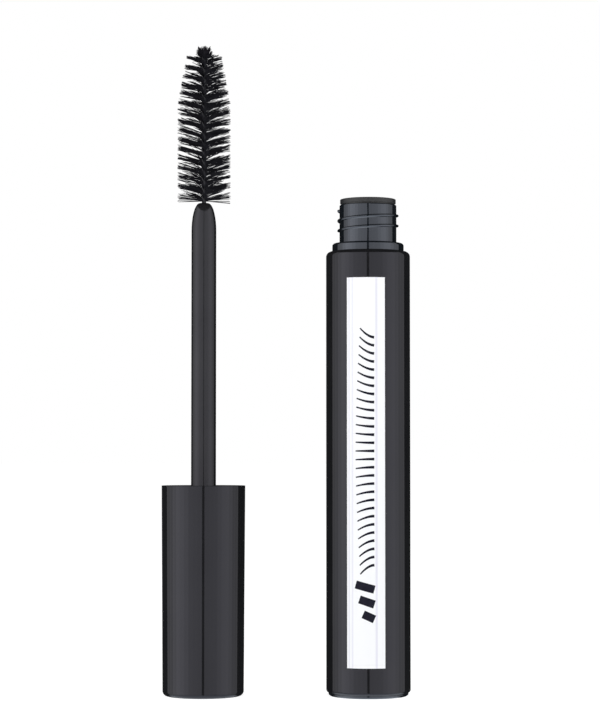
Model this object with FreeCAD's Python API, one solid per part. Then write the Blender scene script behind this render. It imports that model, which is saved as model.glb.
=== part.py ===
import FreeCAD, Part
import math
import os
from FreeCAD import Vector

# A mascara tube, opened: the bottle stands on its base, and the applicator, which is the
# cap with the wand fixed in it, stands beside it upside down on the cap's closed end.
# Millimetres, +Z up. The origin is the centre of the bottle's base, on the surface that
# both halves stand on. The label faces -Y and the applicator stands on the -X side.

# ---------------------------------------------------------------- driving dimensions
AXIS_SPACING = 32.9          # bottle axis to applicator axis, along X
FIT_GAP = 0.05               # radial gap between pieces assembled one inside the other

# Bottle
BARREL_RADIUS = 8.4
SLEEVE_WALL = 0.8
SLEEVE_BOTTOM = 0.65         # the inner bottle shows below this height
SLEEVE_TOP = 88.5
SLEEVE_LIP = 0.9             # thickness of the inward lip at the top
CUP_WALL = 0.9
CUP_FLOOR = 1.0
CUP_TOP = 86.5
COLLAR_RADIUS = 7.15
COLLAR_TOP = 90.15
NECK_RADIUS = 5.7
NECK_BORE_RADIUS = 4.75
WIPER_SEAT = 97.85           # top face of the neck, where the wiper's flange rests
NECK_TOP = 99.0
WIPER_WALL = 0.6
SHADOW_GAP = 0.3             # height of the groove under the wiper's flange
SHADOW_GAP_DEPTH = 0.35
WIPER_ORIFICE_RADIUS = 2.6
ORIFICE_BOTTOM = 83.6
ORIFICE_LENGTH = 1.0
FUNNEL_TOP = 88.0
BEAD_HEIGHT = 89.7           # middle of the wiper's snap bead
FORMULA_LEVEL = 68.0
WAND_CHANNEL_RADIUS = 5.45
LABEL_BOTTOM = 6.05
LABEL_TOP = 82.8
LABEL_SPAN = 52.3            # degrees round the barrel
LABEL_CENTRE = -94.9         # degrees from +X, so a little to the left of straight ahead
LABEL_GLUE = 0.02
LABEL_THICKNESS = 0.08

# Screw thread of the neck and of the inner cap, right-handed
THREAD_PITCH = 2.02
THREAD_TURNS = 2
NECK_THREAD_START = 92.7
NECK_THREAD_CREST = 6.15
CAP_THREAD_CREST = 5.85
RIDGE_ROOT_HALF = 0.38
RIDGE_CREST_HALF = 0.22
RIDGE_CROWN = 0.13           # height of the rounded crest
RIDGE_EMBED = 0.25           # how far the ridge starts inside its wall
RIDGE_END_INSET = 0.03       # how much smaller than the ridge its rounded ends are

# Applicator, heights from the cap's closed end
CAP_LENGTH = 41.75
CAP_RIM_RADIUS = 8.34
CAP_END_RADIUS = 8.08
CAP_BORE_RADIUS = 7.4
CAP_END_WALL = 1.2
SEATED_RIM_HEIGHT = 88.95    # height of the cap's rim when it is screwed home
INNER_CAP_MOUTH = 40.0
INNER_CAP_CEILING = 30.9
INNER_CAP_WEB = 0.9
INNER_CAP_BORE_RADIUS = 6.35
INNER_CAP_SKIRT_RADIUS = 7.0
RIB_COUNT = 12
RIB_WIDTH = 0.8
SOCKET_RADIUS = 4.0
SOCKET_BORE_RADIUS = 2.5
SOCKET_BOTTOM = 18.0
SEAL_INNER_RADIUS = 3.2
SEAL_OUTER_RADIUS = 5.8
SEAL_TOP = 31.7
STEM_RADIUS = 2.485
STEM_BOTTOM = 19.5
STEM_COLLAR_RADIUS = 3.1
STEM_COLLAR_HEIGHT = 0.6
STEM_TIP = 98.3
STEM_TIP_RADIUS = 0.85
STEM_NOSE_LENGTH = 5.6

# Twisted-wire brush, left-handed twist
WIRE_RADIUS = 0.265
WIRE_OFFSET = 0.27           # each strand's centre from the brush's axis
WIRE_BORE_RADIUS = 0.58
WIRE_BOTTOM = 90.5
WIRE_TOP = 129.0
TWIST_PITCH = 3.75
BRUSH_CORE_RADIUS = 0.8
BRUSH_RADIUS = 5.35
BRUSH_BOTTOM = 98.5
BRUSH_TAPER_START = 118.3
BRUSH_TOP = 129.6
BRISTLE_RISE = 0.24          # how much a bristle rises for each millimetre outwards
BRISTLE_ROW_THICKNESS = 0.4

ORIGIN = Vector(0, 0, 0)
UP = Vector(0, 0, 1)


# ---------------------------------------------------------------- outline helpers
def corner_arc(before, corner, after, radius):
    """Start, middle and end of the arc that rounds a corner."""
    to_before = (before - corner).normalize()
    to_after = (after - corner).normalize()
    half_angle = to_before.getAngle(to_after) / 2
    reach = radius / math.tan(half_angle)
    depth = radius / math.sin(half_angle) - radius
    middle = corner + (to_before + to_after).normalize() * depth
    return corner + to_before * reach, middle, corner + to_after * reach


def outline(corners):
    """Closed wire through (radius, height) corners; a third number rounds that corner."""
    points = [Vector(corner[0], 0, corner[1]) for corner in corners]
    edges = []
    first = last = None
    for index, corner in enumerate(corners):
        start = end = points[index]
        arc = None
        if len(corner) == 3:
            after = points[(index + 1) % len(points)]
            start, middle, end = corner_arc(points[index - 1], start, after, corner[2])
            arc = Part.Arc(start, middle, end).toShape()
        if last is None:
            first = start
        else:
            edges.append(Part.makeLine(last, start))
        if arc:
            edges.append(arc)
        last = end
    edges.append(Part.makeLine(last, first))
    return Part.Wire(edges)


def turned(corners):
    """Solid of revolution about Z."""
    return Part.Face(outline(corners)).revolve(ORIGIN, UP, 360)


def tube(outer, inner, bottom, top):
    return turned([(inner, bottom), (outer, bottom), (outer, top), (inner, top)])


def spun(shape, degrees):
    """A copy turned about Z."""
    copy = shape.copy()
    copy.rotate(ORIGIN, UP, degrees)
    return copy


def raised(shape, height):
    """A copy moved up."""
    copy = shape.copy()
    copy.translate(UP * height)
    return copy


def thread_ridge(wall_radius, crest_radius, start_height):
    """Right-hand ridge from inside its wall to its crest, with rounded ends.

    It starts at -X and works on a shaft or in a bore, whichever side the crest is on.
    """
    outwards = 1 if crest_radius > wall_radius else -1
    root = wall_radius - outwards * RIDGE_EMBED
    shoulder = crest_radius - outwards * RIDGE_CROWN
    crown = Part.Arc(
        Vector(shoulder, 0, -RIDGE_CREST_HALF),
        Vector(crest_radius, 0, 0),
        Vector(shoulder, 0, RIDGE_CREST_HALF),
    ).toShape()
    flanks = Part.makePolygon([
        Vector(shoulder, 0, RIDGE_CREST_HALF),
        Vector(root, 0, RIDGE_ROOT_HALF),
        Vector(root, 0, -RIDGE_ROOT_HALF),
        Vector(shoulder, 0, -RIDGE_CREST_HALF),
    ])
    section = Part.Wire([crown] + flanks.Edges)
    height = THREAD_PITCH * THREAD_TURNS
    helix = Part.makeHelix(THREAD_PITCH, height, wall_radius)
    ridge = Part.Wire(helix).makePipeShell([section], True, True)

    # A slightly smaller radial cone rounds each cut-off end.
    end = Part.makeCone(
        RIDGE_ROOT_HALF - RIDGE_END_INSET,
        RIDGE_CREST_HALF - RIDGE_END_INSET,
        abs(crest_radius - root) - RIDGE_END_INSET,
        Vector(root, 0, 0),
        Vector(outwards, 0, 0),
    )
    whole = ridge.fuse([end, raised(end, height)])
    return raised(spun(whole, 180), start_height)


# ---------------------------------------------------------------- bottle
def outer_sleeve():
    """Glossy decorative shell: a straight tube with an inward lip at the shoulder."""
    inner = BARREL_RADIUS - SLEEVE_WALL
    lip = COLLAR_RADIUS + FIT_GAP
    return turned([
        (inner, SLEEVE_BOTTOM),
        (BARREL_RADIUS, SLEEVE_BOTTOM, 0.65),
        (BARREL_RADIUS, SLEEVE_TOP, 1.05),
        (lip, SLEEVE_TOP),
        (lip, SLEEVE_TOP - SLEEVE_LIP),
        (inner, SLEEVE_TOP - SLEEVE_LIP),
    ])


def inner_bottle():
    """The cup that holds the mascara. Its base stands out below the sleeve."""
    outer = BARREL_RADIUS - SLEEVE_WALL - FIT_GAP
    inner = outer - CUP_WALL
    base = BARREL_RADIUS - 0.45
    return turned([
        (0, 0),
        (base - 0.4, 0, 0.3),
        (base, 0.3, 0.2),
        (base, SLEEVE_BOTTOM - FIT_GAP),
        (outer, SLEEVE_BOTTOM - FIT_GAP),
        (outer, CUP_TOP),
        (inner, CUP_TOP),
        (inner, CUP_FLOOR, 0.8),
        (0, CUP_FLOOR),
    ])


def neck_fitting():
    """Plugs the cup, shows as collar and threaded neck, and holds the wiper in its bore."""
    flange = BARREL_RADIUS - SLEEVE_WALL - FIT_GAP
    plug = flange - CUP_WALL - FIT_GAP
    flange_top = SLEEVE_TOP - SLEEVE_LIP - FIT_GAP
    spigot = COLLAR_RADIUS - FIT_GAP
    groove = NECK_BORE_RADIUS + 0.17
    body = turned([
        (plug - CUP_WALL, 80.5),
        (plug, 80.5, 0.3),
        (plug, CUP_TOP),
        (flange, CUP_TOP),
        (flange, flange_top),
        (spigot, flange_top),
        (spigot, SLEEVE_TOP),
        (COLLAR_RADIUS, SLEEVE_TOP),
        (COLLAR_RADIUS, COLLAR_TOP, 0.5),
        (NECK_RADIUS, COLLAR_TOP),
        (NECK_RADIUS, WIPER_SEAT, 0.2),
        (NECK_BORE_RADIUS, WIPER_SEAT),
        (NECK_BORE_RADIUS, BEAD_HEIGHT + 0.65),
        (groove, BEAD_HEIGHT + 0.4),
        (groove, BEAD_HEIGHT - 0.4),
        (NECK_BORE_RADIUS, BEAD_HEIGHT - 0.65),
        (NECK_BORE_RADIUS, CUP_TOP),
        (plug - CUP_WALL, CUP_TOP - 1),
    ])
    thread = thread_ridge(NECK_RADIUS, NECK_THREAD_CREST, NECK_THREAD_START)
    return body.fuse(thread).removeSplitter()


def wiper():
    """Soft insert in the neck: flange, tube with a snap bead, and a funnel to the orifice."""
    outer = NECK_BORE_RADIUS - FIT_GAP
    inner = outer - WIPER_WALL
    bead = outer + 0.15
    flange = NECK_RADIUS - 0.12
    lip_wall = 0.5
    orifice_top = ORIFICE_BOTTOM + ORIFICE_LENGTH
    return turned([
        (WIPER_ORIFICE_RADIUS, ORIFICE_BOTTOM),
        (WIPER_ORIFICE_RADIUS + lip_wall, ORIFICE_BOTTOM, 0.2),
        (WIPER_ORIFICE_RADIUS + lip_wall, orifice_top),
        (outer, FUNNEL_TOP, 0.8),
        (outer, BEAD_HEIGHT - 0.5),
        (bead, BEAD_HEIGHT, 0.3),
        (outer, BEAD_HEIGHT + 0.5),
        (outer, WIPER_SEAT),
        (flange - SHADOW_GAP_DEPTH, WIPER_SEAT),
        (flange - SHADOW_GAP_DEPTH, WIPER_SEAT + SHADOW_GAP),
        (flange, WIPER_SEAT + SHADOW_GAP, 0.05),
        (flange, NECK_TOP, 0.12),
        (inner + 0.35, NECK_TOP, 0.15),
        (inner, NECK_TOP - 0.9, 0.8),
        (inner, FUNNEL_TOP + 0.3, 0.8),
        (WIPER_ORIFICE_RADIUS, orifice_top),
    ])


def mascara_formula():
    """The paste, with the channel that the wand leaves in it."""
    outer = BARREL_RADIUS - SLEEVE_WALL - CUP_WALL - 2 * FIT_GAP
    return turned([
        (WAND_CHANNEL_RADIUS, CUP_FLOOR + FIT_GAP),
        (outer, CUP_FLOOR + FIT_GAP, 0.9),
        (outer, FORMULA_LEVEL),
        (WAND_CHANNEL_RADIUS, FORMULA_LEVEL - 1.5, 0.8),
    ])


def front_label():
    """Printed film stuck on the front of the barrel."""
    inner = BARREL_RADIUS + LABEL_GLUE
    outer = inner + LABEL_THICKNESS
    strip = Part.Face(outline([
        (inner, LABEL_BOTTOM),
        (outer, LABEL_BOTTOM),
        (outer, LABEL_TOP),
        (inner, LABEL_TOP),
    ]))
    return spun(strip.revolve(ORIGIN, UP, LABEL_SPAN), LABEL_CENTRE - LABEL_SPAN / 2)


# ---------------------------------------------------------------- applicator
def overcap():
    """Glossy outer cap, a little narrower at its closed end, with a plain bore."""
    return turned([
        (0, 0),
        (CAP_END_RADIUS, 0, 1.0),
        (CAP_RIM_RADIUS, CAP_LENGTH, 0.12),
        (CAP_BORE_RADIUS, CAP_LENGTH, 0.15),
        (CAP_BORE_RADIUS, CAP_END_WALL, 0.6),
        (0, CAP_END_WALL),
    ])


def inner_cap():
    """Threaded cap inside the overcap, with ribs that grip it and a socket for the stem."""
    web_bottom = INNER_CAP_CEILING - INNER_CAP_WEB
    grip = CAP_BORE_RADIUS - FIT_GAP
    rim_bottom = INNER_CAP_MOUTH - 0.8
    body = turned([
        (SOCKET_BORE_RADIUS, SOCKET_BOTTOM),
        (SOCKET_RADIUS, SOCKET_BOTTOM, 0.4),
        (SOCKET_RADIUS, web_bottom, 0.5),
        (INNER_CAP_SKIRT_RADIUS, web_bottom, 0.5),
        (INNER_CAP_SKIRT_RADIUS, rim_bottom),
        (grip, rim_bottom),
        (grip, INNER_CAP_MOUTH),
        (INNER_CAP_BORE_RADIUS + 0.1, INNER_CAP_MOUTH),
        (INNER_CAP_BORE_RADIUS, INNER_CAP_MOUTH - 0.2),
        (INNER_CAP_BORE_RADIUS, INNER_CAP_CEILING, 0.3),
        (SOCKET_BORE_RADIUS, INNER_CAP_CEILING),
    ])
    rib_root = INNER_CAP_SKIRT_RADIUS - 0.2
    rib_bottom = web_bottom + 0.7
    rib = Part.makeBox(
        grip - rib_root,
        RIB_WIDTH,
        rim_bottom - rib_bottom + 0.1,
        Vector(rib_root, -RIB_WIDTH / 2, rib_bottom),
    ).common(Part.makeCylinder(grip, CAP_LENGTH))
    ribs = [spun(rib, 360 / RIB_COUNT * index) for index in range(RIB_COUNT)]
    # Screwed home, this ridge lies half a pitch from the neck's.
    neck_start_in_cap = CAP_LENGTH + SEATED_RIM_HEIGHT - NECK_THREAD_START
    thread_start = neck_start_in_cap + THREAD_PITCH / 2 - THREAD_TURNS * THREAD_PITCH
    thread = thread_ridge(INNER_CAP_BORE_RADIUS, CAP_THREAD_CREST, thread_start)
    return body.fuse(ribs + [thread]).removeSplitter()


def cap_seal_ring():
    """Flat gasket on the inner cap's ceiling, which the wiper's flange presses on."""
    return turned([
        (SEAL_INNER_RADIUS, INNER_CAP_CEILING + FIT_GAP),
        (SEAL_OUTER_RADIUS, INNER_CAP_CEILING + FIT_GAP, 0.1),
        (SEAL_OUTER_RADIUS, SEAL_TOP, 0.15),
        (SEAL_INNER_RADIUS, SEAL_TOP, 0.15),
    ])


def stem():
    """Rod with an elliptical nose, a stop collar, and a bore for the brush's wire."""
    nose_base = STEM_TIP - STEM_NOSE_LENGTH
    root_radius = SOCKET_BORE_RADIUS - FIT_GAP
    collar_top = INNER_CAP_CEILING + STEM_COLLAR_HEIGHT
    body = turned([
        (0, STEM_BOTTOM),
        (root_radius, STEM_BOTTOM, 0.4),
        (root_radius, INNER_CAP_CEILING),
        (STEM_COLLAR_RADIUS, INNER_CAP_CEILING),
        (STEM_COLLAR_RADIUS, collar_top, 0.15),
        (STEM_RADIUS, collar_top),
        (STEM_RADIUS, nose_base),
        (0, nose_base),
    ])
    ellipse = Part.Ellipse(
        Vector(STEM_TIP_RADIUS, 0, STEM_TIP),
        Vector(STEM_RADIUS, 0, nose_base),
        Vector(STEM_TIP_RADIUS, 0, nose_base),
    )
    shoulder = Vector(STEM_RADIUS, 0, nose_base)
    tip_edge = Vector(STEM_TIP_RADIUS, 0, STEM_TIP)
    limits = sorted([ellipse.parameter(shoulder), ellipse.parameter(tip_edge)])
    if limits[1] - limits[0] > math.pi:
        limits = [limits[1], limits[0] + 2 * math.pi]
    curve = ellipse.toShape(*limits)
    sides = Part.makePolygon([tip_edge, Vector(0, 0, STEM_TIP), Vector(0, 0, nose_base), shoulder])
    nose = Part.Face(Part.Wire([curve] + sides.Edges)).revolve(ORIGIN, UP, 360)
    bore_depth = STEM_TIP - WIRE_BOTTOM + 0.2
    bore = Part.makeCylinder(WIRE_BORE_RADIUS, bore_depth + 1, Vector(0, 0, STEM_TIP - bore_depth))
    return body.fuse(nose).removeSplitter().cut(bore)


def twisted_wire():
    """One wire folded double and twisted, seen here as its two strands."""
    helix = Part.makeLongHelix(TWIST_PITCH, WIRE_TOP - WIRE_BOTTOM, WIRE_OFFSET, 0, True)
    circle = Part.Circle(Vector(WIRE_OFFSET, 0, 0), UP, WIRE_RADIUS).toShape()
    strand = Part.Wire(helix).makePipeShell([Part.Wire(circle)], True, True)
    strand = raised(strand, WIRE_BOTTOM)
    return Part.makeCompound([strand, spun(strand, 180)])


def bristles():
    """The bristles' own space: two swept spiral rows round a core, inside the brush's outline."""
    half = BRISTLE_ROW_THICKNESS / 2
    reach = BRUSH_RADIUS + 0.5
    rise = BRISTLE_RISE * (reach - WIRE_BORE_RADIUS)
    section = Part.makePolygon([
        Vector(WIRE_BORE_RADIUS + 0.05, 0, -half),
        Vector(reach, 0, rise - half),
        Vector(reach, 0, rise + half),
        Vector(WIRE_BORE_RADIUS + 0.05, 0, half),
        Vector(WIRE_BORE_RADIUS + 0.05, 0, -half),
    ])
    length = BRUSH_TOP - BRUSH_BOTTOM
    helix = Part.makeLongHelix(TWIST_PITCH, length, WIRE_BORE_RADIUS, 0, True)
    row = raised(Part.Wire(helix).makePipeShell([section], True, True), BRUSH_BOTTOM)
    core = tube(BRUSH_CORE_RADIUS, WIRE_BORE_RADIUS, BRUSH_BOTTOM, BRUSH_TOP)
    base_rise = 0.8
    envelope = turned([
        (WIRE_BORE_RADIUS, BRUSH_BOTTOM),
        (BRUSH_CORE_RADIUS, BRUSH_BOTTOM),
        (BRUSH_RADIUS, BRUSH_BOTTOM + base_rise),
        (BRUSH_RADIUS, BRUSH_TAPER_START, 14),
        (3.5, 127.9, 0.8),
        (1.0, BRUSH_TOP, 0.6),
        (WIRE_BORE_RADIUS, BRUSH_TOP),
    ])
    return core.fuse([row, spun(row, 180)]).common(envelope).removeSplitter()


# ---------------------------------------------------------------- export
def main():
    bottle = {
        "outer_sleeve": outer_sleeve(),
        "inner_bottle": inner_bottle(),
        "neck_fitting": neck_fitting(),
        "wiper": wiper(),
        "mascara_formula": mascara_formula(),
        "front_label": front_label(),
    }
    applicator = {
        "overcap": overcap(),
        "inner_cap": inner_cap(),
        "cap_seal_ring": cap_seal_ring(),
        "stem": stem(),
        "twisted_wire": twisted_wire(),
        "bristles": bristles(),
    }
    for piece in applicator.values():
        piece.translate(Vector(-AXIS_SPACING, 0, 0))
    os.makedirs("parts", exist_ok=True)
    for name, piece in {**bottle, **applicator}.items():
        piece.exportStep(f"parts/{name}.step")
        print(f"{name}: {len(piece.Solids)} solid(s), {piece.Volume:.1f} mm3, valid {piece.isValid()}")


main()
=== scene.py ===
import math
import random

import bmesh
import bpy
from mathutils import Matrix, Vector


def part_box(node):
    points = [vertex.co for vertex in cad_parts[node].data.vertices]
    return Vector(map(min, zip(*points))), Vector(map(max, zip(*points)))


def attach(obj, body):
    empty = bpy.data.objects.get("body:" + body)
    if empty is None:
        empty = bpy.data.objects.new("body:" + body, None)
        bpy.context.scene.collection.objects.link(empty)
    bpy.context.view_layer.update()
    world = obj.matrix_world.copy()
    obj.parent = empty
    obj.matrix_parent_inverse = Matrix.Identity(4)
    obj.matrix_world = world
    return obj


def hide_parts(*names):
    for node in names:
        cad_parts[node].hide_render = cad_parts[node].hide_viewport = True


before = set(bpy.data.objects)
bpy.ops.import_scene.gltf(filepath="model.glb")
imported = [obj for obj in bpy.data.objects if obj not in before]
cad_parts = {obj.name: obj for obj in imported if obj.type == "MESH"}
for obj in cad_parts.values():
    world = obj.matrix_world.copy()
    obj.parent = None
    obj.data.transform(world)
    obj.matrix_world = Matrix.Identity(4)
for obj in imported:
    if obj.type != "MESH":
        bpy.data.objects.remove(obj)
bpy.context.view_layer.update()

# The looks of an opened mascara tube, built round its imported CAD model. Metres, +Z up.
# The bottle's axis is the Z axis; the applicator stands upside down on its cap at -X.

MM = 0.001


# ---------------------------------------------------------------- places taken from the frame
CAP_LOW, CAP_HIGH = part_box("overcap")
WAND_X = ((CAP_LOW + CAP_HIGH) / 2).x
WIRE_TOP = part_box("twisted_wire")[1].z
BRUSH_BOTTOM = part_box("bristles")[0].z
BRUSH_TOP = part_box("bristles")[1].z
BRUSH_RADIUS = (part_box("bristles")[1].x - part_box("bristles")[0].x) / 2
BARREL_RADIUS = (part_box("outer_sleeve")[1].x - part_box("outer_sleeve")[0].x) / 2
LABEL_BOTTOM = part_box("front_label")[0].z
LABEL_PROUD = 0.1 * MM                       # how far the label's face stands out of the barrel
LABEL_SURFACE = BARREL_RADIUS + LABEL_PROUD
PASTE_LOW, PASTE_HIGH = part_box("mascara_formula")
TWIST_PITCH = 3.75 * MM                      # of the brush's wire, as in the CAD model
BRISTLE_SEED, PASTE_SEED = 7, 11


# ---------------------------------------------------------------- camera, lights and floor
CAMERA_PLACE = Vector((-13.63, -480.0, 46.8)) * MM
CAMERA_PITCH = 2.4                           # degrees above the horizon
CAMERA_LENS = 120.2                          # millimetres, on a sensor 36 mm wide
CAMERA_SENSOR = 36
CAMERA_CLIP = (0.01, 50)


def add_camera():
    data = bpy.data.cameras.new("camera")
    data.lens = CAMERA_LENS
    data.sensor_width = CAMERA_SENSOR
    data.clip_start, data.clip_end = CAMERA_CLIP
    camera = bpy.data.objects.new("camera", data)
    camera.location = CAMERA_PLACE
    camera.rotation_euler = (math.radians(90 + CAMERA_PITCH), 0, 0)
    bpy.context.collection.objects.link(camera)
    bpy.context.scene.camera = camera


def add_panel(name, start, end, low, high, radiance):
    """An upright soft panel between two points on the floor plan, facing the object."""
    start, end = Vector((*start, 0)), Vector((*end, 0))
    middle = (start + end) / 2
    width, height = (end - start).length, high - low
    data = bpy.data.lights.new(name, "AREA")
    data.shape = "RECTANGLE"
    data.size = width
    data.size_y = height
    data.energy = radiance * math.pi * width * height
    light = bpy.data.objects.new(name, data)
    across = (end - start).normalized()
    facing = across.cross(Vector((0, 0, 1)))
    if facing.dot(Vector((WAND_X / 2, 0, 0)) - middle) < 0:
        facing = -facing
    light.location = (middle.x, middle.y, (low + high) / 2)
    light.rotation_euler = facing.to_track_quat("-Z", "Y").to_euler()
    light.visible_camera = False
    bpy.context.collection.objects.link(light)


def add_flat_light(name, place, radiance, size):
    """A square soft light aimed at the middle of the object, which the gloss doesn't show."""
    data = bpy.data.lights.new(name, "AREA")
    data.size = size
    data.energy = radiance * math.pi * size * size
    light = bpy.data.objects.new(name, data)
    light.location = place
    aim = Vector((WAND_X / 2, 0, BRUSH_TOP / 2)) - place
    light.rotation_euler = aim.to_track_quat("-Z", "Y").to_euler()
    light.visible_camera = False
    light.visible_glossy = False
    bpy.context.collection.objects.link(light)


def plan_point(degrees, distance):
    """A point on the floor plan, at an angle from the camera's side towards +X."""
    angle = math.radians(degrees)
    return WAND_X / 2 + distance * math.sin(angle), -distance * math.cos(angle)


GAP_HALF = 3.2                               # degrees, half the gap in front of the camera
PANEL_STEPS = 9                              # panels in each bank
# Degrees round from the camera, and the radiance there.
LEFT_GLOW = ((3, 0.80), (34, 0.92), (50, 1.20), (70, 1.44), (84, 1.15), (100, 0.68), (117, 0.45))
RIGHT_GLOW = ((3, 0.74), (34, 0.84), (50, 1.04), (66, 1.20), (80, 1.02), (96, 0.66), (114, 0.46))
PANEL_DISTANCE = 0.52
PANEL_LOW, PANEL_HIGH = -0.28, 0.5
TOP_PANEL_PLACE = Vector((WAND_X / 2, 0, 0.9))
FRONT_FILL_PLACE = Vector((WAND_X / 2, -0.7, 0.35))


def glow_at(curve, degrees):
    """Radiance at an angle, from a curve of (degrees, radiance) points."""
    for (start, low), (end, high) in zip(curve, curve[1:]):
        if degrees <= end:
            return low + (high - low) * max(degrees - start, 0) / (end - start)
    return curve[-1][1]


def add_lights():
    """Two banks of soft panels with a thin gap at the camera, which the gloss shows as a line."""
    for name, side, curve in (("left", -1, LEFT_GLOW), ("right", 1, RIGHT_GLOW)):
        width = (curve[-1][0] - GAP_HALF) / PANEL_STEPS
        for index in range(PANEL_STEPS):
            start = GAP_HALF + width * index
            add_panel(
                f"panel_{name}_{index}",
                plan_point(side * start, PANEL_DISTANCE),
                plan_point(side * (start + width), PANEL_DISTANCE),
                PANEL_LOW,
                PANEL_HIGH,
                glow_at(curve, start + width / 2),
            )
    add_flat_light("top_panel", TOP_PANEL_PLACE, radiance=1.0, size=0.7)
    add_flat_light("front_fill", FRONT_FILL_PLACE, radiance=3.4, size=0.4)


TABLE_EDGE = (-0.62, -0.5)                   # Z of the directions over which its glow fades
TABLE_GLOW, DARK_GLOW = 1.1, 0.02
TABLE_COLOUR = (0.86, 0.93, 1, 1)
WHITE = (1, 1, 1, 1)


def set_range(node, start, end, low, high):
    """Sets a Map Range node to turn the values from start to end into those from low to high."""
    node.inputs["From Min"].default_value = start
    node.inputs["From Max"].default_value = end
    node.inputs["To Min"].default_value = low
    node.inputs["To Max"].default_value = high


def add_world():
    """White behind the object; in the gloss, dark round about and pale below, like a table."""
    world = bpy.data.worlds.new("studio")
    bpy.context.scene.world = world
    world.use_nodes = True
    nodes, links = world.node_tree.nodes, world.node_tree.links
    nodes.clear()
    output = nodes.new("ShaderNodeOutputWorld")
    ray = nodes.new("ShaderNodeLightPath")
    place = nodes.new("ShaderNodeTexCoord")
    split = nodes.new("ShaderNodeSeparateXYZ")
    fade = nodes.new("ShaderNodeMapRange")
    set_range(fade, *TABLE_EDGE, TABLE_GLOW, DARK_GLOW)
    links.new(place.outputs["Generated"], split.inputs[0])
    links.new(split.outputs["Z"], fade.inputs["Value"])
    surroundings = nodes.new("ShaderNodeBackground")
    surroundings.inputs["Color"].default_value = TABLE_COLOUR
    links.new(fade.outputs[0], surroundings.inputs["Strength"])
    backdrop = nodes.new("ShaderNodeBackground")
    backdrop.inputs["Color"].default_value = WHITE
    mix = nodes.new("ShaderNodeMixShader")
    links.new(ray.outputs["Is Camera Ray"], mix.inputs[0])
    links.new(surroundings.outputs[0], mix.inputs[1])
    links.new(backdrop.outputs[0], mix.inputs[2])
    links.new(mix.outputs[0], output.inputs[0])


FLOOR_REACH = 30
FLOOR_GREY = (0.5, 0.5, 0.5, 1)
FLOOR_FADE = (0.06, 0.4)                     # distances between which the floor turns to white
FLOOR_GLOW = (0.88, 1.0)


def add_floor():
    """A wide pale floor that shows soft shadows but isn't mirrored in the gloss."""
    reach = FLOOR_REACH
    mesh = bpy.data.meshes.new("floor")
    corners = [(-reach, -reach, 0), (reach, -reach, 0), (reach, reach, 0), (-reach, reach, 0)]
    mesh.from_pydata(corners, [], [(0, 1, 2, 3)])
    floor = bpy.data.objects.new("floor", mesh)
    bpy.context.collection.objects.link(floor)
    material, nodes, links = new_material("floor_paper")
    output = nodes["Material Output"]
    diffuse = nodes.new("ShaderNodeBsdfDiffuse")
    diffuse.inputs["Color"].default_value = FLOOR_GREY
    glow = nodes.new("ShaderNodeEmission")
    place = nodes.new("ShaderNodeTexCoord")
    distance = nodes.new("ShaderNodeVectorMath")
    distance.operation = "LENGTH"
    links.new(place.outputs["Object"], distance.inputs[0])
    fade = nodes.new("ShaderNodeMapRange")
    fade.interpolation_type = "SMOOTHSTEP"
    set_range(fade, *FLOOR_FADE, *FLOOR_GLOW)
    links.new(distance.outputs["Value"], fade.inputs["Value"])
    links.new(fade.outputs[0], glow.inputs["Strength"])
    both = nodes.new("ShaderNodeAddShader")
    links.new(diffuse.outputs[0], both.inputs[0])
    links.new(glow.outputs[0], both.inputs[1])
    links.new(both.outputs[0], output.inputs["Surface"])
    floor.data.materials.append(material)
    floor.visible_glossy = False
    floor.visible_diffuse = False
    floor.visible_shadow = False


# ---------------------------------------------------------------- materials
def new_material(name):
    """A material with its nodes and links."""
    material = bpy.data.materials.new(name)
    material.use_nodes = True
    return material, material.node_tree.nodes, material.node_tree.links


def add_noise(nodes, links, scale, stretch=(1, 1, 1), detail=3):
    """Noise over the piece's own coordinates, stretched along the axes given."""
    place = nodes.new("ShaderNodeTexCoord")
    mapping = nodes.new("ShaderNodeMapping")
    mapping.inputs["Scale"].default_value = stretch
    noise = nodes.new("ShaderNodeTexNoise")
    noise.inputs["Scale"].default_value = scale
    noise.inputs["Detail"].default_value = detail
    links.new(place.outputs["Object"], mapping.inputs[0])
    links.new(mapping.outputs[0], noise.inputs["Vector"])
    return noise


NOISE_MIDDLE = (0.3, 0.7)                    # where nearly all of a noise's values lie


def spread(nodes, links, noise, low, high):
    """Maps a noise's middle range to the values from low to high."""
    ramp = nodes.new("ShaderNodeMapRange")
    set_range(ramp, *NOISE_MIDDLE, low, high)
    links.new(noise.outputs[0], ramp.inputs["Value"])
    return ramp.outputs[0]


def tint(nodes, links, factor, dark, light):
    """A colour between two others, by a factor from 0 to 1 (a Mix node's colour sockets)."""
    mix = nodes.new("ShaderNodeMix")
    mix.data_type = "RGBA"
    links.new(factor, mix.inputs[0])
    mix.inputs[6].default_value = (*dark, 1)
    mix.inputs[7].default_value = (*light, 1)
    return mix.outputs[2]


def add_bump(nodes, links, height, distance):
    """A bumped normal; the height runs from 0 to 1 and stands for the distance."""
    bump = nodes.new("ShaderNodeBump")
    bump.inputs["Strength"].default_value = 1
    bump.inputs["Distance"].default_value = distance
    links.new(height, bump.inputs["Height"])
    return bump.outputs[0]


BROAD_NOISE = 90                             # scale of the slow change of a plastic's colour


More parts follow.
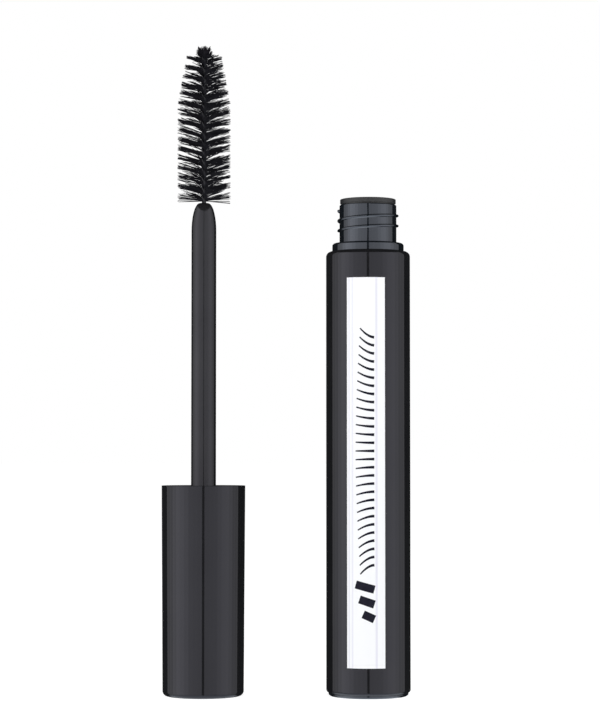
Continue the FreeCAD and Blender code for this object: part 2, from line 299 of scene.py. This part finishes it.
def plastic(name, *, dark, light, roughness, grain_scale, bump, grain_stretch=(1, 1, 1),
            ior=1.5, specular_tint=(1, 1, 1)):
    """Moulded plastic: colour and roughness vary over it, with a fine surface grain."""
    material, nodes, links = new_material(name)
    shader = nodes["Principled BSDF"]
    broad = add_noise(nodes, links, BROAD_NOISE)
    colour = tint(nodes, links, spread(nodes, links, broad, 0, 1), dark, light)
    links.new(colour, shader.inputs["Base Color"])
    grain = add_noise(nodes, links, grain_scale, grain_stretch, detail=5)
    rough = spread(nodes, links, grain, *roughness)
    links.new(rough, shader.inputs["Roughness"])
    links.new(add_bump(nodes, links, grain.outputs[0], bump), shader.inputs["Normal"])
    shader.inputs["IOR"].default_value = ior
    shader.inputs["Specular Tint"].default_value = (*specular_tint, 1)
    return material


# Painted reflections, three faint lavender streaks down the label: degrees round the barrel from
# straight ahead, half the width in degrees, and strength.
PAINTED_REFLECTION_LINES = (
    (-27.8, 1.6, 0.4),
    (-23.0, 1.6, 0.4),
    (9.4, 2.2, 0.5),
)
PAINTED_REFLECTION_CORE = 0.3                      # share of a line's width at its full strength
FILM_WHITE, LAVENDER = (0.93, 0.93, 0.94), (0.66, 0.64, 0.78)


def label_film():
    """Glossy white film with three faint lavender lines down it, painted reflections in its colour.
    """
    material, nodes, links = new_material("label_film")
    shader = nodes["Principled BSDF"]
    place = nodes.new("ShaderNodeTexCoord")
    split = nodes.new("ShaderNodeSeparateXYZ")
    links.new(place.outputs["Object"], split.inputs[0])
    depth = nodes.new("ShaderNodeMath")
    depth.operation = "MULTIPLY"
    depth.inputs[1].default_value = -1
    links.new(split.outputs["Y"], depth.inputs[0])
    angle = nodes.new("ShaderNodeMath")
    angle.operation = "ARCTAN2"
    links.new(split.outputs["X"], angle.inputs[0])
    links.new(depth.outputs[0], angle.inputs[1])
    total = None
    # Each line is a painted reflection: a soft lavender streak at a fixed angle round the barrel.
    for degrees, half_width, weight in PAINTED_REFLECTION_LINES:
        offset = nodes.new("ShaderNodeMath")
        offset.operation = "SUBTRACT"
        offset.inputs[1].default_value = math.radians(degrees)
        links.new(angle.outputs[0], offset.inputs[0])
        distance = nodes.new("ShaderNodeMath")
        distance.operation = "ABSOLUTE"
        links.new(offset.outputs[0], distance.inputs[0])
        line = nodes.new("ShaderNodeMapRange")
        line.interpolation_type = "SMOOTHSTEP"
        core = half_width * PAINTED_REFLECTION_CORE
        set_range(line, math.radians(half_width), math.radians(core), 0, weight)
        links.new(distance.outputs[0], line.inputs["Value"])
        if total is None:
            total = line.outputs[0]
        else:
            add = nodes.new("ShaderNodeMath")
            add.operation = "ADD"
            links.new(total, add.inputs[0])
            links.new(line.outputs[0], add.inputs[1])
            total = add.outputs[0]
    # The film's white, with the painted reflection lines mixed into its colour.
    lines = tint(nodes, links, total, FILM_WHITE, LAVENDER)
    links.new(lines, shader.inputs["Base Color"])
    fibre = add_noise(nodes, links, scale=700, detail=4)
    rough = spread(nodes, links, fibre, 0.16, 0.24)
    links.new(rough, shader.inputs["Roughness"])
    return material


def wire_metal():
    """Dark drawn steel, with streaks along the wire."""
    material, nodes, links = new_material("wire_steel")
    shader = nodes["Principled BSDF"]
    drawn = add_noise(nodes, links, scale=900, stretch=(1, 1, 0.15), detail=4)
    mottle = spread(nodes, links, drawn, 0, 1)
    colour = tint(nodes, links, mottle, (0.018, 0.018, 0.02), (0.05, 0.05, 0.055))
    links.new(colour, shader.inputs["Base Color"])
    shader.inputs["Metallic"].default_value = 1
    links.new(spread(nodes, links, drawn, 0.18, 0.3), shader.inputs["Roughness"])
    return material


def wet_paste():
    """Black paste with wet, rippled gloss."""
    material, nodes, links = new_material("wet_paste")
    shader = nodes["Principled BSDF"]
    ripple = add_noise(nodes, links, scale=500, detail=4)
    mottle = spread(nodes, links, ripple, 0, 1)
    colour = tint(nodes, links, mottle, (0.003, 0.003, 0.003), (0.01, 0.01, 0.011))
    links.new(colour, shader.inputs["Base Color"])
    links.new(spread(nodes, links, ripple, 0.1, 0.3), shader.inputs["Roughness"])
    links.new(add_bump(nodes, links, ripple.outputs[0], 0.1 * MM), shader.inputs["Normal"])
    return material


def label_ink():
    """Blue-black ink with a dull, speckled surface."""
    material, nodes, links = new_material("label_ink")
    shader = nodes["Principled BSDF"]
    speckle = add_noise(nodes, links, scale=1500)
    mottle = spread(nodes, links, speckle, 0, 1)
    colour = tint(nodes, links, mottle, (0.008, 0.008, 0.016), (0.013, 0.012, 0.023))
    links.new(colour, shader.inputs["Base Color"])
    links.new(spread(nodes, links, speckle, 0.3, 0.4), shader.inputs["Roughness"])
    shader.inputs["Specular IOR Level"].default_value = 0.12
    return material


def fibre_nylon():
    """Black nylon, faintly streaked along each fibre, with hardly any shine."""
    material, nodes, links = new_material("fibre_nylon")
    shader = nodes["Principled BSDF"]
    streak = add_noise(nodes, links, scale=2500, stretch=(1, 1, 0.3))
    mottle = spread(nodes, links, streak, 0, 1)
    colour = tint(nodes, links, mottle, (0.010, 0.0095, 0.012), (0.020, 0.019, 0.024))
    links.new(colour, shader.inputs["Base Color"])
    links.new(spread(nodes, links, streak, 0.5, 0.7), shader.inputs["Roughness"])
    shader.inputs["Specular IOR Level"].default_value = 0.04
    return material


def paint_cad():
    """Gives each CAD node that stays in view its finished material."""
    gloss = plastic(
        "gloss_shell", dark=(0.009, 0.009, 0.010), light=(0.012, 0.012, 0.013),
        roughness=(0.05, 0.08), grain_scale=60, bump=0.001 * MM,
        ior=1.52, specular_tint=(0.87, 0.86, 1.0),
    )
    bottle = plastic(
        "bottle_plastic", dark=(0.004, 0.006, 0.008), light=(0.007, 0.009, 0.012),
        roughness=(0.05, 0.08), grain_scale=400, bump=0.001 * MM,
        ior=1.9, specular_tint=(0.82, 0.87, 1.0),
    )
    satin = plastic(
        "wiper_plastic", dark=(0.02, 0.02, 0.021), light=(0.028, 0.028, 0.029),
        roughness=(0.34, 0.44), grain_scale=1200, bump=0.004 * MM,
    )
    moulded = plastic(
        "inner_cap_plastic", dark=(0.012, 0.012, 0.013), light=(0.02, 0.02, 0.021),
        roughness=(0.3, 0.42), grain_scale=900, bump=0.004 * MM,
    )
    foam = plastic(
        "seal_foam", dark=(0.42, 0.42, 0.4), light=(0.6, 0.6, 0.57),
        roughness=(0.75, 0.9), grain_scale=3000, bump=0.03 * MM,
    )
    rod = plastic(
        "stem_plastic", dark=(0.012, 0.012, 0.013), light=(0.02, 0.02, 0.021),
        roughness=(0.06, 0.1), grain_scale=900, grain_stretch=(1, 1, 0.06), bump=0.001 * MM,
        specular_tint=(0.9, 0.88, 1.0),
    )
    finishes = {
        "outer_sleeve": gloss,
        "overcap": gloss,
        "inner_bottle": bottle,
        "neck_fitting": bottle,
        "wiper": satin,
        "inner_cap": moulded,
        "cap_seal_ring": foam,
        "stem": rod,
        "twisted_wire": wire_metal(),
        "front_label": label_film(),
    }
    for node, material in finishes.items():
        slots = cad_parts[node].material_slots
        for index in range(len(slots)):
            slots[index].material = material
    # Each half is lit as if it stood alone: neither is mirrored in the other.
    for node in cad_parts.values():
        node.visible_glossy = False


# ---------------------------------------------------------------- mesh helpers
def add_piece(name, vertices, faces, material, body, smooth=False):
    """A piece that rides a body, from vertices and faces in place."""
    mesh = bpy.data.meshes.new(name)
    mesh.from_pydata(vertices, [], faces)
    shell = bmesh.new()
    shell.from_mesh(mesh)
    bmesh.ops.recalc_face_normals(shell, faces=shell.faces)
    shell.to_mesh(mesh)
    shell.free()
    mesh.materials.append(material)
    mesh.polygons.foreach_set("use_smooth", [smooth] * len(mesh.polygons))
    piece = bpy.data.objects.new(name, mesh)
    bpy.context.collection.objects.link(piece)
    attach(piece, body)
    piece.visible_glossy = False
    return piece


def closed_tube(vertices, faces, rings):
    """Joins rings with the same number of points into a closed skin, added to the lists."""
    first, count = len(vertices), len(rings[0])
    for ring in rings:
        vertices.extend(ring)
    for row in range(len(rings) - 1):
        low = first + row * count
        for side in range(count):
            after = (side + 1) % count
            faces.append((low + side, low + after, low + count + after, low + count + side))
    faces.append(tuple(first + side for side in reversed(range(count))))
    last = first + (len(rings) - 1) * count
    faces.append(tuple(last + side for side in range(count)))


# ---------------------------------------------------------------- bristles
FIBRES_PER_SIDE = 2900
FIBRES_PER_CLUMP = 5
FIBRE_ROOT_RADIUS = 0.05 * MM
FIBRE_TIP_RADIUS = 0.03 * MM
FIBRE_ROOT = 0.25 * MM                       # where a fibre starts, from the brush's axis
FIBRE_SIDES = 3
FIBRE_RISE = 0.24                            # rise for each metre outwards
FIBRE_LEAN = 0.12                            # the whole rows lean this much down towards -Y
FIBRE_WANDER = 0.02                          # scatter of each fibre's slope, drift and droop
FIBRE_TURN_SCATTER = math.radians(2.5)
FIBRE_LENGTH = 0.985                         # share of the brush's outline
FIBRE_LENGTH_SCATTER = 0.025
SHORT_SHARE, SHORT_LENGTH = 0.1, (0.6, 0.95)
BASE_HEIGHT = 0.8 * MM                       # over which the lowest fibres reach the full rise
CROWN_HEIGHT = 1.6 * MM                      # over which the highest fibres fan up
CROWN_RISE = (0.2, 1.0)
CLUMP_SLOPE_SCATTER = 0.065
ROW_PHASE = math.radians(20)                 # where the lowest fibres point, from +X
ROW_SCATTER = math.radians(11)
STRAY_SHARE, STRAY_SCATTER = 0.16, math.radians(45)
ROWS_LOW = BRUSH_BOTTOM + 0.15 * MM
ROWS_HIGH = WIRE_TOP - 0.1 * MM
TAPER_START = BRUSH_TOP - 11.6 * MM
TAPER_END = BRUSH_TOP - 2.0 * MM
TAPER_END_RADIUS = 3.6 * MM
TAPER_CURVE = 1.15
TIP_START = BRUSH_TOP - 1.5 * MM
TIP_RADIUS = 1.3 * MM
TUFT_FIBRES = 340
TUFT_RADIUS = 1.9 * MM
TUFT_RISE = 0.5 * MM                         # how far the tuft stands out of the CAD outline
TUFT_DEPTH = 0.9 * MM                        # of the tuft's roots below its middle
TUFT_ROOT_RADIUS = 0.2 * MM
TUFT_BULGE = 0.05 * MM
TUFT_TILT, TUFT_TILT_CURVE = math.radians(85), 0.7
TUFT_LENGTH = (0.75, 1.0)                    # shares of the tuft's radius


def smooth_step(value, start, end):
    """Rises smoothly from 0 at the start to 1 at the end."""
    share = min(max((value - start) / (end - start), 0), 1)
    return share * share * (3 - 2 * share)


def brush_outline(height):
    """The brush's radius at a height: straight, then a taper, then a small tip."""
    if height < TAPER_START:
        return BRUSH_RADIUS
    if height < TAPER_END:
        share = (height - TAPER_START) / (TAPER_END - TAPER_START)
        return BRUSH_RADIUS + (TAPER_END_RADIUS - BRUSH_RADIUS) * share ** TAPER_CURVE
    share = min((height - TAPER_END) / (TIP_START - TAPER_END), 1)
    return TAPER_END_RADIUS + (TIP_RADIUS - TAPER_END_RADIUS) * share


def fibre_path(source, root_height, angle, clump_slope):
    """Three points of one fibre: its root in the wire, a middle and its tip."""
    base = smooth_step(root_height, BRUSH_BOTTOM, BRUSH_BOTTOM + BASE_HEIGHT)
    crown = smooth_step(root_height, WIRE_TOP - CROWN_HEIGHT, WIRE_TOP)
    slope = FIBRE_RISE * base + clump_slope
    slope += source.gauss(0, FIBRE_WANDER) + FIBRE_LEAN * math.sin(angle)
    slope += crown * source.uniform(*CROWN_RISE)
    length_share = min(source.gauss(FIBRE_LENGTH, FIBRE_LENGTH_SCATTER), 1)
    if source.random() < SHORT_SHARE:
        length_share *= source.uniform(*SHORT_LENGTH)
    # The tip's height depends on the reach and the reach on that height, so both are refined.
    reach = BRUSH_RADIUS
    for _ in range(4):
        reach = brush_outline(root_height + slope * (reach - FIBRE_ROOT))
    reach *= length_share
    outwards = Vector((math.cos(angle), math.sin(angle), 0))
    sideways = Vector((-math.sin(angle), math.cos(angle), 0))
    drift = source.gauss(0, FIBRE_WANDER)
    droop = source.gauss(0, FIBRE_WANDER)
    points = []
    for share in (0, 0.5, 1):
        radius = FIBRE_ROOT + (reach - FIBRE_ROOT) * share
        height = root_height + slope * (reach - FIBRE_ROOT) * share
        height += droop * reach * (share * share - share)
        point = outwards * radius + sideways * (drift * reach * share * share)
        points.append(Vector((WAND_X + point.x, point.y, height)))
    return points


def tuft_path(source):
    """One fibre of the tuft that covers the wire's end, which fans out to a small dome."""
    angle = source.uniform(0, 2 * math.pi)
    tilt = TUFT_TILT * source.random() ** TUFT_TILT_CURVE
    length = TUFT_RADIUS * source.uniform(*TUFT_LENGTH)
    middle = BRUSH_TOP + TUFT_RISE - TUFT_RADIUS
    outwards = Vector((math.cos(angle), math.sin(angle), 0))
    root = Vector((WAND_X, 0, middle - TUFT_DEPTH)) + outwards * TUFT_ROOT_RADIUS
    tip = Vector((WAND_X, 0, middle)) + outwards * (length * math.sin(tilt))
    tip.z += length * math.cos(tilt)
    return root, (root + tip) / 2 + Vector((0, 0, TUFT_BULGE)), tip


def add_fibre(vertices, faces, points):
    """A thin closed prism along a fibre's points, thinner towards the tip."""
    along = (points[-1] - points[0]).normalized()
    side = along.cross(Vector((0, 0, 1)))
    if side.length < 0.05:                   # the fibre is all but upright
        side = along.cross(Vector((1, 0, 0)))
    side.normalize()
    other = along.cross(side)
    radii = (FIBRE_ROOT_RADIUS, (FIBRE_ROOT_RADIUS + FIBRE_TIP_RADIUS) / 2, FIBRE_TIP_RADIUS)
    rings = []
    for point, radius in zip(points, radii):
        ring = []
        for corner in range(FIBRE_SIDES):
            turn = 2 * math.pi * corner / FIBRE_SIDES
            ring.append(point + side * (radius * math.cos(turn)) + other * (radius * math.sin(turn)))
        rings.append(ring)
    closed_tube(vertices, faces, rings)


def add_bristles():
    """Fibres clamped across the wire; the left-handed twist turns them into two spiral rows."""
    source = random.Random(BRISTLE_SEED)
    vertices, faces = [], []
    for half_turn in (0, math.pi):
        for index in range(FIBRES_PER_SIDE):
            share = (index + source.random()) / FIBRES_PER_SIDE
            height = ROWS_LOW + (ROWS_HIGH - ROWS_LOW) * share
            if index % FIBRES_PER_CLUMP == 0:
                scatter = STRAY_SCATTER if source.random() < STRAY_SHARE else ROW_SCATTER
                clump_turn = source.gauss(0, scatter)
                clump_slope = source.gauss(0, CLUMP_SLOPE_SCATTER)
            angle = ROW_PHASE - 2 * math.pi * (height - ROWS_LOW) / TWIST_PITCH + half_turn
            angle += clump_turn + source.gauss(0, FIBRE_TURN_SCATTER)
            add_fibre(vertices, faces, fibre_path(source, height, angle, clump_slope))
    for _ in range(TUFT_FIBRES):
        add_fibre(vertices, faces, tuft_path(source))
    material = fibre_nylon()
    piece = add_piece("bristle_fibres", vertices, faces, material, "applicator")
    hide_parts("bristles")


# ---------------------------------------------------------------- paste inside the bottle
PASTE_AROUND, PASTE_ROWS = 72, 60            # points round the channel and rows down it
CHANNEL_RADIUS = 5.55                        # millimetres
CHANNEL_RIPPLES = (                          # millimetres, waves round, phase for each metre up
    (0.10, 3, 900),
    (0.07, 7, -1500),
    (0.06, 2, 4 * math.pi / TWIST_PITCH),
)
PASTE_TOP_DROP = 0.7                         # millimetres
PASTE_TOP_WAVES = ((0.35, 2), (0.2, 5))      # millimetres, waves round
PASTE_RIM = 0.6 * MM                         # how far the channel's edge is below the top


def add_paste():
    """The paste clings to the bottle's wall, with the rough channel that the brush leaves."""
    source = random.Random(PASTE_SEED)
    low, high = PASTE_LOW.z, PASTE_HIGH.z
    outer = (PASTE_HIGH.x - PASTE_LOW.x) / 2
    ripple_phases = [source.uniform(0, 2 * math.pi) for _ in CHANNEL_RIPPLES]
    wave_phases = [source.uniform(0, 2 * math.pi) for _ in PASTE_TOP_WAVES]

    def channel(angle, height):
        radius = CHANNEL_RADIUS
        for (size, waves, climb), phase in zip(CHANNEL_RIPPLES, ripple_phases):
            radius += size * math.sin(waves * angle + phase + height * climb)
        return radius * MM

    def top(angle):
        drop = PASTE_TOP_DROP
        for (size, waves), phase in zip(PASTE_TOP_WAVES, wave_phases):
            drop += size * math.sin(waves * angle + phase)
        return high - drop * MM

    vertices, faces = [], []
    for step in range(PASTE_AROUND):
        angle = 2 * math.pi * step / PASTE_AROUND
        edge = top(angle) - PASTE_RIM
        section = [(outer, low), (outer, top(angle))]
        for row in range(PASTE_ROWS + 1):
            height = edge + (low - edge) * row / PASTE_ROWS
            section.append((channel(angle, height), height))
        vertices += [(r * math.cos(angle), r * math.sin(angle), z) for r, z in section]
    count = len(section)
    for step in range(PASTE_AROUND):
        here, after = step * count, (step + 1) % PASTE_AROUND * count
        for row in range(count):
            next_row = (row + 1) % count
            faces.append((here + row, after + row, after + next_row, here + next_row))
    material = wet_paste()
    piece = add_piece("mascara_paste", vertices, faces, material, "bottle", smooth=True)
    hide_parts("mascara_formula")


# ---------------------------------------------------------------- print on the label
PRINT_BASE_ANGLE = math.radians(6.4)         # of the print's base line, from straight ahead
PRINT_HEIGHT = 3.7 * MM                      # across the label
INK_THICKNESS = 0.02 * MM
INK_LIFT = 0.005 * MM
BAR_HEIGHTS = (0.6, 0.8, 1.0)                # shares of the print's height
BAR_START, BAR_SPACING = LABEL_BOTTOM + 9.6 * MM, 2.9 * MM
BAR_LEAN, BAR_WIDTH = 1.0 * MM, 1.6 * MM
LASHES = 29
FIRST_LASH, LAST_LASH = LABEL_BOTTOM + 20.2 * MM, LABEL_BOTTOM + 64.9 * MM
LASH_WIDTH, LASH_TAPER = 0.55 * MM, 0.55     # at the root, and the share lost towards the tip
LASH_LEAN = 1.8 * MM                         # of the first and last lash, away from the middle
LASH_CURVE = 1.8
LASH_HEIGHT, LASH_ARCH = 0.75, 0.25          # shares of the print's height
BAR_STEPS, LASH_STEPS = 8, 10


def on_label(along, across, lift):
    """A point on the label: along it upwards, and across from the print's base line."""
    angle = PRINT_BASE_ANGLE - across / LABEL_SURFACE
    radius = LABEL_SURFACE + lift
    return Vector((radius * math.sin(angle), -radius * math.cos(angle), along))


def add_stroke(vertices, faces, path, widths):
    """A thin printed stroke along a path of (along, across) points, as a closed solid."""
    rings = []
    for index, (along, across) in enumerate(path):
        before = path[max(index - 1, 0)]
        after = path[min(index + 1, len(path) - 1)]
        direction = Vector((after[0] - before[0], after[1] - before[1])).normalized()
        normal = Vector((-direction.y, direction.x)) * (widths[index] / 2)
        left = (along + normal.x, across + normal.y)
        right = (along - normal.x, across - normal.y)
        rings.append([
            on_label(*left, INK_LIFT),
            on_label(*right, INK_LIFT),
            on_label(*right, INK_LIFT + INK_THICKNESS),
            on_label(*left, INK_LIFT + INK_THICKNESS),
        ])
    closed_tube(vertices, faces, rings)


def lash_stroke(start, lean, height):
    """The curved, tapering outline of one lash."""
    path, widths = [], []
    for step in range(LASH_STEPS + 1):
        share = step / LASH_STEPS
        path.append((start + lean * share ** LASH_CURVE, height * share))
        widths.append(LASH_WIDTH * (1 - LASH_TAPER * share))
    return path, widths


def add_label_print():
    """A plain graphic with no lettering: three bold bars, then a row of fine lashes."""
    ink = label_ink()
    vertices, faces = [], []
    for index, height in enumerate(BAR_HEIGHTS):
        start = BAR_START + BAR_SPACING * index
        path = []
        for step in range(BAR_STEPS + 1):
            share = step / BAR_STEPS
            path.append((start + BAR_LEAN * share, PRINT_HEIGHT * height * share))
        add_stroke(vertices, faces, path, [BAR_WIDTH] * len(path))
    add_piece("label_print_bars", vertices, faces, ink, "bottle")
    vertices, faces = [], []
    for index in range(LASHES):
        share = index / (LASHES - 1)
        start = FIRST_LASH + (LAST_LASH - FIRST_LASH) * share
        lean = LASH_LEAN * (2 * share - 1)
        height = PRINT_HEIGHT * (LASH_HEIGHT + LASH_ARCH * math.sin(math.pi * share))
        add_stroke(vertices, faces, *lash_stroke(start, lean, height))
    add_piece("label_print_lashes", vertices, faces, ink, "bottle")


# ---------------------------------------------------------------- scene
def main():
    bpy.context.scene.view_settings.view_transform = "Standard"
    add_camera()
    add_world()
    add_lights()
    add_floor()
    paint_cad()
    add_bristles()
    add_paste()
    add_label_print()


main()
